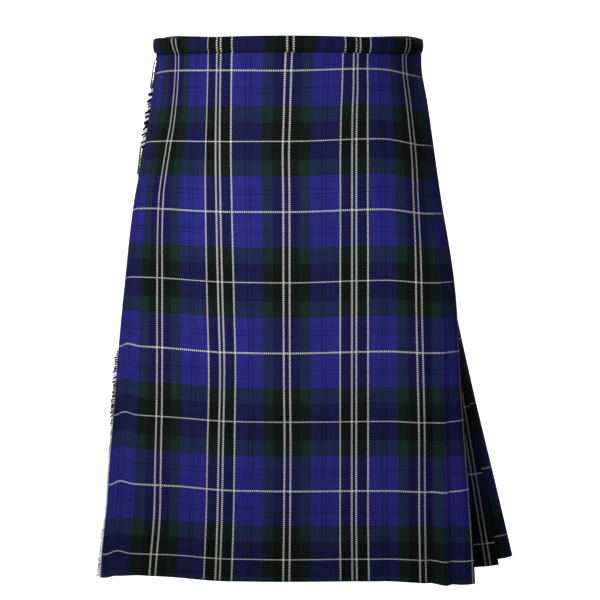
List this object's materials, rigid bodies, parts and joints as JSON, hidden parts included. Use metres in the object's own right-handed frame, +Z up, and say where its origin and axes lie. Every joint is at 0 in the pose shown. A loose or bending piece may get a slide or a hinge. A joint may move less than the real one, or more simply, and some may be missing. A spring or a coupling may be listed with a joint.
{
  "type": "scottish kilt",
  "caption": "Worn tartan kilt with a flat fringed over apron, under apron, knife-pleated back, waistband and leather straps with chrome buckles.",
  "frame": {"origin": "centre of the waist opening, level with the front's top edge", "axes": "+Z up out of the waist opening, -Y to the front, +X to the wearer's left"},
  "size_m": [0.4861, 0.3202, 0.6323],
  "materials": {
    "tartan": "2/2 twill wool tartan, matt",
    "fringe": "loose twisted wool ends",
    "leather": "black, half gloss",
    "chrome": "polished plating"
  },
  "bodies": {
    "root": {"over_apron": "tartan", "under_apron": "tartan", "pleated_back": "tartan", "waistband": "tartan", "fringe": "fringe", "strap_waist_right": "leather", "strap_hip_right": "leather", "strap_waist_left": "leather", "chape_waist_right": "leather", "chape_hip_right": "leather", "chape_waist_left": "leather", "buckle_waist_right": "chrome", "buckle_hip_right": "chrome", "buckle_waist_left": "chrome", "prong_waist_right": "chrome", "prong_hip_right": "chrome", "prong_waist_left": "chrome"}
  },
  "joints": []
}
